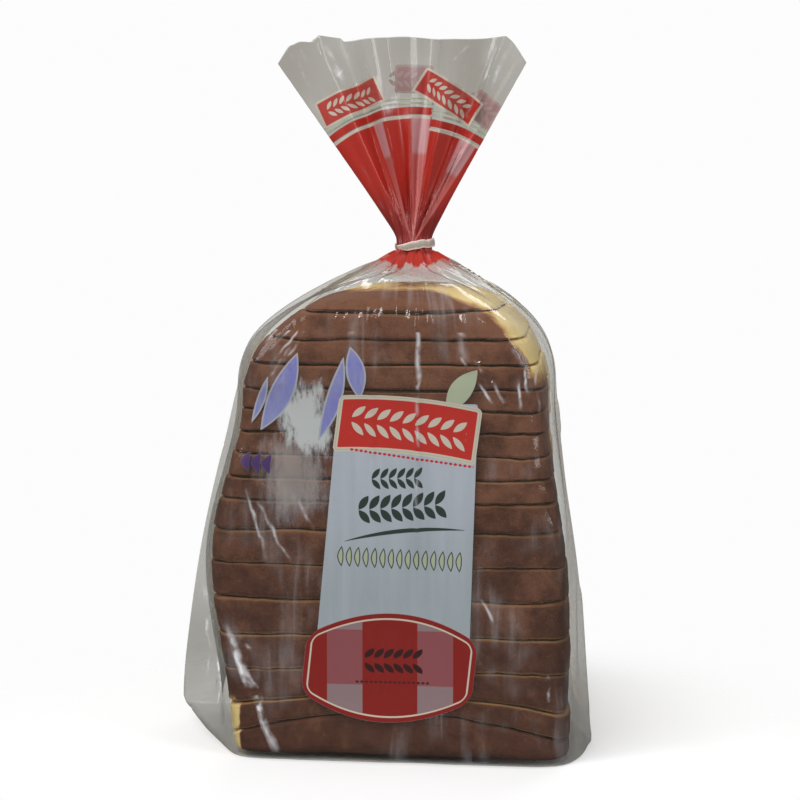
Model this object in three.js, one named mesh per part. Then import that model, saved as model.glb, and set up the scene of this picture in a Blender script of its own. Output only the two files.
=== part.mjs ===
// A sliced loaf standing on end in a clear bag, whose neck is gathered into a pale band and
// flares above it into a pleated fan. The bag is one closed solid out to its film, because the
// film lies on the bread. Millimetres, +Z up, front of the pack towards -Y, and the origin on
// the table under the middle of the loaf.
import * as THREE from "three";

// The loaf, as it stands: its slices lie flat, one on another, and both its ends are domed.
const LOAF_LEFT = { foot: 61.5, belly: 71.5, shoulder: 58.5 }; // how far its left side reaches
const LOAF_RIGHT = { foot: 68.5, belly: 67.5, shoulder: 60.5 };
const BELLY_Z = 79;
const LOAF_HALF_DEPTH = 58;
const FRONT_SQUARENESS = 9; // exponents of the superellipse of a ring, whose front is flat
const BACK_SQUARENESS = 5; // and whose back is rounder
const NECK_SQUARENESS = 2;
const TAPER = 0.025; // the share by which the loaf is wider in front and narrower behind
const FOOT_INSET = 4; // the rounding of the foot, from the film's edge in to the flat face
const FOOT_EDGE_Z = 0.8;

// Slices from the foot to the top: the lowest is a thick end piece, the upper ones are thin.
const SLICE_THICKNESS = [21, 6.5, 11, 13, 14.5, 14, 14, 11.5, 9.5, 9.5, 9, 9, 8.5, 10, 10, 10.5];
const SAG = 12.5; // how far the edges of the lowest slices hang below their middle
const SAG_START_Z = 21;
const SAG_FADE = 11;
const CUT_DEPTH = 1.7; // how far the film dips into the cut between two slices
const CUT_FADE = 0.8; // the share of the half width from which the dip fades to the side

// The film's loose sides stand off the loaf as ears, widest at the lower corners. At the foot
// the film is tight between the loaf and an ear's edge, and above it the ears are thin.
const EAR_LEFT = { foot: 97, shoulder: 69.5, y: 5, lift: 7, fall: 1.78 };
const EAR_RIGHT = { foot: 81, shoulder: 63.5, y: -14, lift: 0, fall: 0.85 };
const LIFT_FADE_Z = 60; // the height above which an ear's lift is gone
const EAR_TURN_Z = 120; // from here up an ear turns towards the middle of the side
const EAR_THINNING = 0.08; // radians off its edge in which an ear falls to about a third
const TIGHT_Z = 4;
const THIN_Z = 42;
const FILM_GAP = 0.8; // between the bread and the film's outer face

// The shoulder runs from the loaf's sides in to the neck.
const SHOULDER_Z = 150;
const NECK_Z = 203.5;
const NECK_TOP_Z = 209.5;
const NECK_RADIUS = 6.4;
const NECK_X = 4.1; // the neck leans to the right
const SHOULDER_ROUND = { width: [2.45, 1.22], depth: [7, 0.9] }; // the top is an arch, front to back
const GATHER_START = 0.5; // the share of the shoulder's height at which the pleats begin
const PLEATS = 12;
const PLEAT_SHARE = 0.07; // the folds' height at the neck, as a share of its radius

// The fan above the neck.
const FAN_TOP_Z = 292;
const FAN_HALF_WIDTH = 52;
const FAN_X = -1;
const FAN_CORNER = 0.86; // where the straight mouth turns down, as a share of the half width
const FAN_CORNER_DROP = 11;
const FAN_FOLD = 8; // half the depth of the folds at the mouth
const FAN_FOLDS = [
  { depth: 0.62, turns: 1.55, start: 0.08 }, // a few broad folds
  { depth: 0.38, turns: 2.7, start: 0.55 }, // with narrower ones on them
];
const FOLD_SHARPNESS = 0.94; // 1 is a plain zigzag
const FAN_OPEN = 0.25; // the share of the fan's height in which the round neck turns flat
const FAN_HALF_THICKNESS = 1; // at the sides
const FAN_BELLY = 1.6; // how much thicker each half is in the middle
const MOUTH_WAVE = { height: 0.8, turns: 7 };

// The band round the neck is a C, open at the front left, and it climbs to the right.
const BAND_Z = 206.5;
const BAND_HEIGHT = 3.4;
const BAND_CLEARANCE = 0.35;
const BAND_THICKNESS = 1.1;
const BAND_TILT = 8; // degrees
const BAND_FROM = -1.72; // radians, from the front centre round the right and the back
const BAND_TO = 2.9;
const BAND_TAB = 4.5; // the free end that stands off at the front
const BAND_TAB_SPREAD = 0.35; // how far it turns out, as a share of its length

const AROUND = 72; // points round each ring, half of them in front
const OUTLINE_POINTS = 4 * AROUND; // of the slice's outline, on which the ring's points are found
const HALF = AROUND / 2;
const SHOULDER_RINGS = 12;
const FAN_RINGS = 11;

const { lerp, clamp, smoothstep, degToRad } = THREE.MathUtils;

// A point at a distance from the axis, in a direction given in radians from +X.
function polar(radius, angle) {
  return new THREE.Vector2(radius * Math.cos(angle), radius * Math.sin(angle));
}

// How far one side of the loaf reaches at a height.
function loafSide(side, z) {
  if (z < BELLY_Z) return lerp(side.foot, side.belly, smoothstep(z, 0, BELLY_Z));
  return lerp(side.belly, side.shoulder, smoothstep(z, BELLY_Z, SHOULDER_Z));
}

// How far the film's loose side reaches at a height.
function earSide(ear, z) {
  return lerp(ear.foot, ear.shoulder, clamp(z / SHOULDER_Z, 0, 1) ** ear.fall);
}

// The share of a shoulder's width left at t, from 1 at its foot to 0 at the neck.
function shoulderShare(t, [bend, ease]) {
  return (1 - t ** bend) ** ease;
}

// The reach of everything at a height, with the shoulder drawn in to the neck.
function reach(z) {
  const t = clamp((z - SHOULDER_Z) / (NECK_Z - SHOULDER_Z), 0, 1);
  const drawnIn = (value, round) =>
    NECK_RADIUS + (value - NECK_RADIUS) * shoulderShare(t, round);
  const { width, depth } = SHOULDER_ROUND;
  const gather = smoothstep(t, GATHER_START, 1);
  return {
    centre: NECK_X * t * t,
    leftEar: drawnIn(earSide(EAR_LEFT, z), width),
    rightEar: drawnIn(earSide(EAR_RIGHT, z), width),
    earShare: 1 - smoothstep(z, EAR_TURN_Z, SHOULDER_Z),
    leftLoaf: drawnIn(loafSide(LOAF_LEFT, z) + FILM_GAP, width),
    rightLoaf: drawnIn(loafSide(LOAF_RIGHT, z) + FILM_GAP, width),
    depth: drawnIn(LOAF_HALF_DEPTH + FILM_GAP, depth),
    front: lerp(FRONT_SQUARENESS, NECK_SQUARENESS, gather),
    back: lerp(BACK_SQUARENESS, NECK_SQUARENESS, gather),
    taper: TAPER * (1 - smoothstep(z, BELLY_Z, SHOULDER_Z)),
    gather,
  };
}

// The outline of a slice: a superellipse that may reach further on one side, drawn in by inset.
function sliceOutline(r, inset) {
  return Array.from({ length: OUTLINE_POINTS }, (_, i) => {
    const { x, y } = polar(1, (2 * Math.PI * i) / OUTLINE_POINTS);
    const power = 2 / (y < 0 ? r.front : r.back);
    const side = x < 0 ? inset - r.leftLoaf : r.rightLoaf - inset;
    const deep = Math.sign(y) * Math.abs(y) ** power;
    const across = Math.abs(x) ** power * side * (1 - r.taper * deep);
    return new THREE.Vector2(across, deep * (r.depth - inset));
  });
}

// The corners of the convex outline round some points, anticlockwise.
function convexOutline(points) {
  const sorted = [...points].sort((p, q) => p.x - q.x || p.y - q.y);
  const side = (list) => {
    const kept = [];
    for (const p of list) {
      while (kept.length > 1) {
        const [a, b] = kept.slice(-2);
        if ((b.x - a.x) * (p.y - a.y) - (b.y - a.y) * (p.x - a.x) > 1e-9) break;
        kept.pop();
      }
      kept.push(p);
    }
    return kept.slice(0, -1);
  };
  return [...side(sorted), ...side(sorted.reverse())];
}

// How far from the axis an outline lies in a direction.
function distanceTo(outline, direction) {
  for (let i = 0; i < outline.length; i++) {
    const a = outline[i];
    const b = outline[(i + 1) % outline.length];
    const fromA = direction.x * a.y - direction.y * a.x;
    const fromB = direction.x * b.y - direction.y * b.x;
    if (fromA > 0 || fromB < 0) continue;
    const share = fromA === fromB ? 0 : fromA / (fromA - fromB);
    const hit = a.clone().lerp(b, share);
    if (hit.dot(direction) > 0) return hit.length();
  }
  throw new Error("the outline doesn't go round the axis");
}

// How far a thin ear stands out beyond the loaf at a point of the ring. It is hollow on both
// faces, because the two layers of film lie against each other there.
function earStand(tip, loaf, turn) {
  return Math.max(0, tip - loaf) * Math.exp(-Math.abs(turn) / EAR_THINNING);
}

// The film's outline at a height, as points round the ring from the left ear by the front to
// the right ear and back. The foot's flat face has no ears and is drawn in a little.
function bodyRing(z, isFoot = false) {
  const r = reach(z);
  const left = new THREE.Vector2(-Math.max(r.leftEar, r.leftLoaf), EAR_LEFT.y * r.earShare);
  const right = new THREE.Vector2(Math.max(r.rightEar, r.rightLoaf), EAR_RIGHT.y * r.earShare);
  const slice = sliceOutline(r, isFoot ? FOOT_INSET : 0);
  const tight = convexOutline(isFoot ? slice : [...slice, left, right]);
  const thinness = smoothstep(z, TIGHT_Z, THIN_Z);
  const rightAngle = Math.atan2(right.y, right.x);
  const leftAngle = Math.atan2(left.y, left.x);
  const from = leftAngle > 0 ? leftAngle - 2 * Math.PI : leftAngle;
  const ring = [];
  for (let i = 0; i < AROUND; i++) {
    const angle =
      i <= HALF
        ? lerp(from, rightAngle, i / HALF)
        : lerp(rightAngle, from + 2 * Math.PI, (i - HALF) / HALF);
    const loaf = distanceTo(slice, polar(1, angle));
    const fromLeft = Math.min(angle - from, from + 2 * Math.PI - angle);
    const atLeft = earStand(left.length(), loaf, fromLeft);
    const atRight = earStand(right.length(), loaf, angle - rightAngle);
    const thin = loaf + Math.max(atLeft, atRight);
    const pleat = 1 + PLEAT_SHARE * r.gather * Math.cos(PLEATS * angle);
    const reached = lerp(distanceTo(tight, polar(1, angle)), thin, thinness);
    const p = polar(reached * pleat, angle);
    ring.push(new THREE.Vector3(p.x + r.centre, p.y, z));
  }
  return ring;
}

// How far a slice hangs at a share of the way from its middle to its side.
function sag(z, share) {
  if (z < SAG_START_Z) return ((SAG * z) / SAG_START_Z) * share * share;
  return SAG * Math.exp((SAG_START_Z - z) / SAG_FADE) * share * share;
}

// A ring at a slice's cut or middle: it hangs at the sides, rises to a lifted ear and dips in
// at a cut.
function sliceRing(z, dip) {
  return bodyRing(z).map((p) => {
    const [loaf, ear] = p.x < 0 ? [LOAF_LEFT, EAR_LEFT] : [LOAF_RIGHT, EAR_RIGHT];
    const side = loafSide(loaf, z);
    const x = Math.abs(p.x);
    const beyond = clamp((x - side) / (earSide(ear, z) - side), 0, 1);
    const onBread = 1 - smoothstep(x, side * CUT_FADE, side);
    p.y -= Math.sign(p.y) * dip * onBread;
    p.z -= sag(z, Math.min(1, x / side)) * (1 - beyond);
    p.z += ear.lift * beyond * (1 - smoothstep(z, 0, LIFT_FADE_Z));
    return p;
  });
}

// A fold of the fan: a zigzag with rounded turns, between -1 and 1.
function zigzag(phase) {
  const wave = FOLD_SHARPNESS * Math.sin(2 * Math.PI * phase);
  return Math.asin(wave) / Math.asin(FOLD_SHARPNESS);
}

// The fan's folds across its width.
function fanFold(share) {
  return FAN_FOLDS.reduce((sum, f) => sum + f.depth * zigzag(f.turns * share + f.start), 0);
}

// A ring of the fan, from 0 at the neck to 1 at the mouth. The round neck opens into a flat fan.
function fanRing(v) {
  const halfWidth = lerp(NECK_RADIUS, FAN_HALF_WIDTH, v);
  const centre = lerp(NECK_X, FAN_X, v);
  const open = smoothstep(v, 0, FAN_OPEN);
  const ring = [];
  for (let i = 0; i < AROUND; i++) {
    const isFront = i <= HALF;
    const round = polar(1, (Math.PI * i) / HALF - Math.PI);
    const share = isFront ? (2 * i) / HALF - 1 : 3 - (2 * i) / HALF;
    const corner = Math.max(0, (Math.abs(share) - FAN_CORNER) / (1 - FAN_CORNER));
    const wave = MOUTH_WAVE.height * Math.cos(MOUTH_WAVE.turns * share);
    const top = FAN_TOP_Z - FAN_CORNER_DROP * corner + wave;
    const pleat = 1 + PLEAT_SHARE * (1 - open) * Math.cos((PLEATS * Math.PI * i) / HALF);
    const half = FAN_HALF_THICKNESS + FAN_BELLY * (1 - share * share);
    const side = Math.abs(share) === 1 ? 0 : isFront ? -1 : 1;
    const flatY = FAN_FOLD * v * fanFold(share) + side * half;
    const x = halfWidth * pleat * lerp(round.x, share, open);
    const y = lerp(NECK_RADIUS * pleat * round.y, flatY, open);
    ring.push(new THREE.Vector3(x + centre, y, lerp(NECK_TOP_Z, top, v)));
  }
  return ring;
}

// One closed solid through the rings, with a flat foot and a strip that closes the fan's mouth.
function loft(rings) {
  const positions = rings.flat().flatMap((p) => [p.x, p.y, p.z]);
  const centre = positions.length / 3;
  positions.push(0, 0, 0);
  const faces = [];
  for (let k = 0; k + 1 < rings.length; k++) {
    for (let i = 0; i < AROUND; i++) {
      const [a, b] = [k * AROUND + i, k * AROUND + ((i + 1) % AROUND)];
      faces.push(a, b, b + AROUND, a, b + AROUND, a + AROUND);
    }
  }
  for (let i = 0; i < AROUND; i++) faces.push(centre, (i + 1) % AROUND, i);
  const top = (rings.length - 1) * AROUND;
  for (let i = 0; i < HALF; i++) {
    const [a, b] = [top + i, top + i + 1];
    const [c, d] = [top + ((AROUND - i - 1) % AROUND), top + ((AROUND - i) % AROUND)];
    if (b !== c) faces.push(a, b, c);
    if (a !== d) faces.push(a, c, d);
  }
  const geometry = new THREE.BufferGeometry();
  geometry.setAttribute("position", new THREE.Float32BufferAttribute(positions, 3));
  geometry.setIndex(faces);
  geometry.computeVertexNormals();
  return geometry;
}

function bagGeometry() {
  const rings = [bodyRing(0, true), sliceRing(FOOT_EDGE_Z, 0)];
  let z = 0;
  for (const thickness of SLICE_THICKNESS) {
    if (z + thickness > SHOULDER_Z) break;
    rings.push(sliceRing(z + thickness / 2, 0));
    z += thickness;
    rings.push(sliceRing(z, CUT_DEPTH));
  }
  for (let k = 1; k <= SHOULDER_RINGS; k++) {
    rings.push(bodyRing(lerp(z, NECK_Z, k / SHOULDER_RINGS)));
  }
  for (let k = 0; k < FAN_RINGS; k++) rings.push(fanRing(k / (FAN_RINGS - 1)));
  return loft(rings);
}

// The band: a C bent round the neck, with one end standing off as a tab.
function bandGeometry() {
  const inner = NECK_RADIUS * (1 + PLEAT_SHARE) + BAND_CLEARANCE;
  const outer = inner + BAND_THICKNESS;
  const along = polar(BAND_TAB, BAND_FROM - Math.PI / 2);
  const off = along.add(polar(BAND_TAB * BAND_TAB_SPREAD, BAND_FROM));
  const shape = new THREE.Shape();
  shape.absarc(0, 0, outer, BAND_FROM, BAND_TO, false);
  shape.absarc(0, 0, inner, BAND_TO, BAND_FROM, true);
  for (const radius of [inner, outer]) {
    const end = polar(radius, BAND_FROM).add(off);
    shape.lineTo(end.x, end.y);
  }
  shape.closePath();
  const geometry = new THREE.ExtrudeGeometry(shape, {
    depth: BAND_HEIGHT,
    bevelEnabled: false,
    curveSegments: 28,
  });
  return geometry.translate(0, 0, -BAND_HEIGHT / 2);
}

function named(name, geometry, colour, roughness) {
  const material = new THREE.MeshStandardMaterial({ color: colour, roughness, metalness: 0 });
  const mesh = new THREE.Mesh(geometry, material);
  mesh.name = name;
  return mesh;
}

const pack = new THREE.Group();
pack.add(named("bread_bag", bagGeometry(), 0x7a5443, 0.35));
const band = named("neck_band", bandGeometry(), 0xd8d2c8, 0.5);
band.position.set(NECK_X, 0, BAND_Z);
band.rotation.y = -degToRad(BAND_TILT);
pack.add(band);

export default pack;
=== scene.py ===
# A sliced loaf that stands on end in a clear printed bag, tied at the neck and fanned out above.
# Metres, +Z up, and the printed front of the pack looks towards -Y. Shapes are worked out in
# millimetres and put into each mesh in metres.
import math

import bpy
import numpy as np
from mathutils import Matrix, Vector, noise


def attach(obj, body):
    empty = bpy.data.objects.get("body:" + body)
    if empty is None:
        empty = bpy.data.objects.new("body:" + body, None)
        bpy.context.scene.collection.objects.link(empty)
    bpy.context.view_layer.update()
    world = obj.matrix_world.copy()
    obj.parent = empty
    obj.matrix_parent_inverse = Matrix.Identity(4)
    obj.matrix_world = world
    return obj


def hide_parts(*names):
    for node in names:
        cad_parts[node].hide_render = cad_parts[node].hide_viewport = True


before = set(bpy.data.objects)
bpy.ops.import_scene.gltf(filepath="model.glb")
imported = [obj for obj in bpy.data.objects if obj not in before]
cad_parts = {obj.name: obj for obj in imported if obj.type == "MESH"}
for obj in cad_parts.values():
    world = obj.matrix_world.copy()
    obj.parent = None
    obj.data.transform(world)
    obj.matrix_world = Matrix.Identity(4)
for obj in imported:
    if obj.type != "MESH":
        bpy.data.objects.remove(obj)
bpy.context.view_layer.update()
MM = 0.001
bpy.ops.object.select_all(action="DESELECT")


# The camera. It stands just under a metre away and seven degrees to the right of the pack's
# front, level with the fan, and looks slightly down on the loaf.
CAMERA_AWAY = 945 * MM
CAMERA_HEIGHT = 241.5 * MM
CAMERA_TURN = math.radians(7)
CAMERA_DIP = math.radians(6.066)
CAMERA_ASIDE = -1.87 * MM  # how far to the right of the middle of the foot it is aimed
FOCAL_LENGTH = 101.25
SENSOR_WIDTH = 36

bpy.ops.object.camera_add(
    location=(
        CAMERA_AWAY * math.sin(CAMERA_TURN) + CAMERA_ASIDE * math.cos(CAMERA_TURN),
        CAMERA_ASIDE * math.sin(CAMERA_TURN) - CAMERA_AWAY * math.cos(CAMERA_TURN),
        CAMERA_HEIGHT,
    ),
    rotation=(math.pi / 2 - CAMERA_DIP, 0, CAMERA_TURN),
)
camera = bpy.context.object
camera.data.lens = FOCAL_LENGTH
camera.data.sensor_width = SENSOR_WIDTH
camera.data.clip_start = 10 * MM
bpy.context.scene.camera = camera


# The floor and the light. A plain pale floor fades out into a surround of the same white, and
# soft lamps stand in front and above. A narrow lamp draws crisp streaks on the film, and in the
# film's reflections the floor is painted dark.
FLOOR_RADIUS = 4.0
FLOOR_DROP = 0.4 * MM
FLOOR_FADE = (0.05, 0.22)  # the distance from the pack over which the floor fades out
FLOOR_WHITE = (0.9, 0.9, 0.9, 1)
FLOOR_PAINTED_DARK_REFLECTION = (0.16, 0.16, 0.16, 1)  # the floor's colour in the film's reflections only: a painted dark reflection
SURROUND_SEEN = 0.98  # the surround's brightness behind the pack, and then as a lamp
SURROUND_LIGHT = 0.3
BREAD_MIDDLE = Vector((0, 0, 0.11))


class Number:
    """A node's output, on which plain arithmetic adds Math nodes to its tree."""

    def __init__(self, socket):
        self.socket = socket

    def calc(self, operation, *others):
        return calc(operation, self, *others)

    def __add__(self, other):
        return calc("ADD", self, other)

    def __sub__(self, other):
        return calc("SUBTRACT", self, other)

    def __rsub__(self, other):
        return calc("SUBTRACT", other, self)

    def __mul__(self, other):
        return calc("MULTIPLY", self, other)

    def __truediv__(self, other):
        return calc("DIVIDE", self, other)

    def __abs__(self):
        return calc("ABSOLUTE", self)


def tree_of(value):
    """The node tree that a node's output is in."""
    return getattr(value, "socket", value).id_data


def put(socket, value):
    """Gives a socket a value, or a link where the value is another node's output."""
    value = getattr(value, "socket", value)
    if isinstance(value, bpy.types.NodeSocket):
        socket.id_data.links.new(value, socket)
    else:
        socket.default_value = value


def add(tree, kind, inputs=None, **settings):
    """A new node with its settings and the values of its sockets."""
    node = tree.nodes.new(kind)
    for name, value in settings.items():
        setattr(node, name, value)
    for name, value in (inputs or {}).items():
        put(node.inputs[name], value)
    return node


def calc(operation, *values):
    """A Math node's result. At least one of the values is a Number."""
    tree = next(tree_of(value) for value in values if isinstance(value, Number))
    inputs = dict(enumerate(values))
    return Number(add(tree, "ShaderNodeMath", inputs, operation=operation).outputs[0])


def vector_calc(operation, vector, more=None):
    """A Vector Math node's result."""
    inputs = {0: vector, **(more or {})}
    node = add(tree_of(vector), "ShaderNodeVectorMath", inputs, operation=operation)
    return Number(node.outputs["Value" if operation == "LENGTH" else "Vector"])


def step_between(value, low, high):
    """0 below low and 1 above high, with a smooth rise between."""
    inputs = {"Value": value, "From Min": low, "From Max": high}
    node = add(tree_of(value), "ShaderNodeMapRange", inputs, interpolation_type="SMOOTHSTEP")
    return Number(node.outputs[0])


def blend(share, a, b):
    """One colour laid over another by a share."""
    inputs = {"Factor": share, 6: a, 7: b}
    return add(tree_of(share), "ShaderNodeMix", inputs, data_type="RGBA").outputs[2]


def mix_shaders(share, a, b):
    return add(tree_of(share), "ShaderNodeMixShader", {0: share, 1: a, 2: b}).outputs[0]


def light_path(tree, name):
    return Number(add(tree, "ShaderNodeLightPath").outputs[name])


def new_material(name):
    """A material with only its output node."""
    material = bpy.data.materials.new(name)
    material.use_nodes = True
    tree = material.node_tree
    tree.nodes.clear()
    return material, tree, tree.nodes.new("ShaderNodeOutputMaterial")


def softbox(name, place, size, power, aim=BREAD_MIDDLE, mirrored=True):
    """A rectangular lamp turned towards the pack, which may show mirrored in the film."""
    bpy.ops.object.light_add(type="AREA", location=place)
    lamp = bpy.context.object
    lamp.name = name
    lamp.rotation_euler = (aim - Vector(place)).to_track_quat("-Z", "Y").to_euler()
    lamp.data.shape = "RECTANGLE"
    lamp.data.size, lamp.data.size_y = size
    lamp.data.energy = power
    lamp.visible_glossy = mirrored


bpy.ops.mesh.primitive_circle_add(
    vertices=96, radius=FLOOR_RADIUS, fill_type="NGON", location=(0, 0, -FLOOR_DROP)
)
floor = bpy.context.object
floor.name = "floor"
floor_material, tree, output = new_material("pale_floor")
where = add(tree, "ShaderNodeNewGeometry").outputs["Position"]
# Glossy rays see the floor darker than it is: a painted dark reflection in the film.
floor_colour = blend(light_path(tree, "Is Glossy Ray"), FLOOR_WHITE, FLOOR_PAINTED_DARK_REFLECTION)
matt = add(tree, "ShaderNodeBsdfDiffuse", {"Color": floor_colour}).outputs[0]
nothing = add(tree, "ShaderNodeBsdfTransparent").outputs[0]
faded = step_between(vector_calc("LENGTH", where), *FLOOR_FADE)
put(output.inputs["Surface"], mix_shaders(faded, matt, nothing))
floor.data.materials.append(floor_material)

world = bpy.data.worlds.new("pale_surround")
world.use_nodes = True
bpy.context.scene.world = world
tree = world.node_tree
tree.nodes.clear()
brightness = light_path(tree, "Is Camera Ray") * (SURROUND_SEEN - SURROUND_LIGHT) + SURROUND_LIGHT
surround = add(tree, "ShaderNodeBackground", {"Color": (1, 1, 1, 1), "Strength": brightness})
put(tree.nodes.new("ShaderNodeOutputWorld").inputs["Surface"], surround.outputs[0])

softbox("lamp_above", (-0.25, -0.55, 1.15), (0.7, 0.5), 9, mirrored=False)
softbox("lamp_left", (-1.0, -0.75, 0.75), (0.5, 0.8), 5)
softbox("lamp_right", (1.0, -0.6, 0.6), (0.5, 0.8), 5)
softbox("lamp_behind", (0.1, 0.9, 1.0), (0.9, 0.5), 5)
softbox("lamp_narrow", (0.02, -1.3, 0.85), (0.12, 0.5), 3)
bpy.context.scene.view_settings.view_transform = "Standard"


# The bread. Seventeen slices cut across a loaf that stands on one end. The face towards the
# front is baked dark, the other sides are pale gold, and both ends are domed. The slices lie on
# each other loosely, and the lowest ones hang at their sides.
SLICE_THICKNESS = [21, 6.5, 11, 13, 14.5, 14, 14, 11.5, 9.5, 9.5, 9, 9, 8.5, 10, 10, 10.5, 9.8]
FOOT_GAP = 0.9  # the film and a little air under the lowest slice
BELLY_Z = 79
SHOULDER_Z = 150
TOP_Z = 190.2
LOAF_LEFT = {"foot": 61.5, "belly": 71.5, "shoulder": 58.5}
LOAF_RIGHT = {"foot": 68.5, "belly": 67.5, "shoulder": 60.5}
LOAF_HALF_DEPTH = 57.6
WIDTH_DOME = (1.43, 0.3)
DEPTH_DOME = (26, 0.5)
FRONT_WIDER = 0.025  # the share by which the loaf is wider in front, and narrower behind,
BACK_NARROWER = 0.09  # below its shoulder
TOP_LEAN = 2.6  # the top of the loaf leans to the right as the bag's neck does
FRONT_SQUARENESS = {"slice": 9, "top": 4.5}
BACK_SQUARENESS = {"slice": 4.8, "top": 3}
SAG, SAG_START_Z, SAG_FADE = 12.5, 21, 11  # the most, at which height, and how it fades above
RIM_RADIUS = (0.35, 1.25)  # how round the edges of a cut are, from the closest to the widest
CUT_GAP = 0.12
FOOT_ROUND = 6.5
SLICE_SHIFT = 0.8  # how far a slice may lie inside the loaf's outline
FULLER_LEFT, FULLER_RIGHT = 3.4, 1.8  # how far the front's edges bulge beyond the outline
FULLER_LOW_RIGHT = 4.6  # and how far at the right below the loaf's belly
CUT_WAVES = [(0.045, 1.1), (0.2, 0.35)]  # waves per millimetre along a cut, and their height
POINTS_ROUND = 320
SIDE_CUTS = 11
FACE_INSETS = (0.012, 0.03, 0.1, 0.25, 0.3)  # rings on a cut face, as shares of its radius
CRUST_BUMPS = [(0.055, 0.5), (0.17, 0.28), (0.55, 0.12)]  # waves per millimetre and height


def smooth(x, low, high):
    """0 below low and 1 above high, with a smooth rise between, for numpy arrays."""
    t = np.clip((np.asarray(x, float) - low) / (high - low), 0, 1)
    return t * t * (3 - 2 * t)


def mix(a, b, share):
    return a + (b - a) * share


def loaf_side(side, z):
    """How far one side of the loaf reaches at a height."""
    low = mix(side["foot"], side["belly"], smooth(z, 0, BELLY_Z))
    high = mix(side["belly"], side["shoulder"], smooth(z, BELLY_Z, SHOULDER_Z))
    return np.where(z < BELLY_Z, low, high) * dome(z, WIDTH_DOME)


def dome(z, bend):
    """The share of the loaf's width that is left on the way up over its domed end."""
    t = np.clip((z - SHOULDER_Z) / (TOP_Z - SHOULDER_Z), 0, 1)
    return np.maximum(1 - t ** bend[0], 0) ** bend[1]


def sag(z, share):
    """How far a slice hangs at a share of the way from its middle to its side."""
    low = SAG * z / SAG_START_Z
    high = SAG * np.exp(np.minimum(SAG_START_Z - z, 0) / SAG_FADE)
    return np.where(z < SAG_START_Z, low, high) * share * share


def fuller(x, y, z):
    """How far bread and film bulge to a side, along the edges of the loaf's front."""
    right = mix(FULLER_LOW_RIGHT, FULLER_RIGHT, smooth(z, 60, 115))
    side = np.where(x < 0, -FULLER_LEFT, right)
    in_front = smooth(np.abs(x), 22, 55) * (1 - smooth(y, -30, 12)) * (1 - smooth(x, 71, 81))
    return side * in_front * (1 - smooth(z, 166, 188))


def wavy(points, waves):
    """Smooth uneven numbers of about -1 to 1, one for each point."""
    return np.array([noise.noise(Vector(p) * waves) for p in points])


def read_points(mesh):
    points = np.zeros(len(mesh.vertices) * 3)
    mesh.vertices.foreach_get("co", points)
    return points.reshape(-1, 3) / MM


def write_points(mesh, points):
    mesh.vertices.foreach_set("co", (points * MM).ravel())
    mesh.update()


def normals_of(mesh):
    found = np.zeros(len(mesh.vertices) * 3)
    mesh.vertex_normals.foreach_get("vector", found)
    return found.reshape(-1, 3)


def mark(mesh, name, values):
    """Keeps one number for each vertex as an attribute that a material reads."""
    layer = mesh.attributes.new(name, "FLOAT", "POINT")
    layer.data.foreach_set("value", np.asarray(values, np.float32))


def select_faces(mesh, chosen):
    """Selects the faces for which chosen says so, in object mode, with all else deselected."""
    for part in (mesh.vertices, mesh.edges):
        part.foreach_set("select", [False] * len(part))
    mesh.polygons.foreach_set("select", [bool(chosen(face)) for face in mesh.polygons])


def select_only(piece):
    bpy.ops.object.select_all(action="DESELECT")
    piece.select_set(True)
    bpy.context.view_layer.objects.active = piece


def edit(select_mode="FACE"):
    bpy.ops.object.mode_set(mode="EDIT")
    bpy.ops.mesh.select_mode(type=select_mode)


def finish_edit():
    bpy.ops.object.mode_set(mode="OBJECT")


# One slice is cut from a disc: its side is divided for relief, and its faces are inset.
bpy.ops.mesh.primitive_cylinder_add(
    vertices=POINTS_ROUND, radius=1, depth=1, end_fill_type="NGON", location=(0, 0, 0.5)
)
blank = bpy.context.object
bpy.ops.object.transform_apply(location=True, rotation=True, scale=True)
edit("EDGE")
bpy.ops.mesh.select_all(action="DESELECT")
finish_edit()
for edge in blank.data.edges:
    low, high = (blank.data.vertices[i].co.z for i in edge.vertices)
    edge.select = abs(high - low) > 0.5
edit("EDGE")
bpy.ops.mesh.subdivide(number_cuts=SIDE_CUTS)
finish_edit()
for width in FACE_INSETS:
    select_faces(blank.data, lambda face: abs(face.normal.z) > 0.9 and len(face.vertices) > 4)
    edit("FACE")
    bpy.ops.mesh.inset(thickness=width)
    finish_edit()


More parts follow.
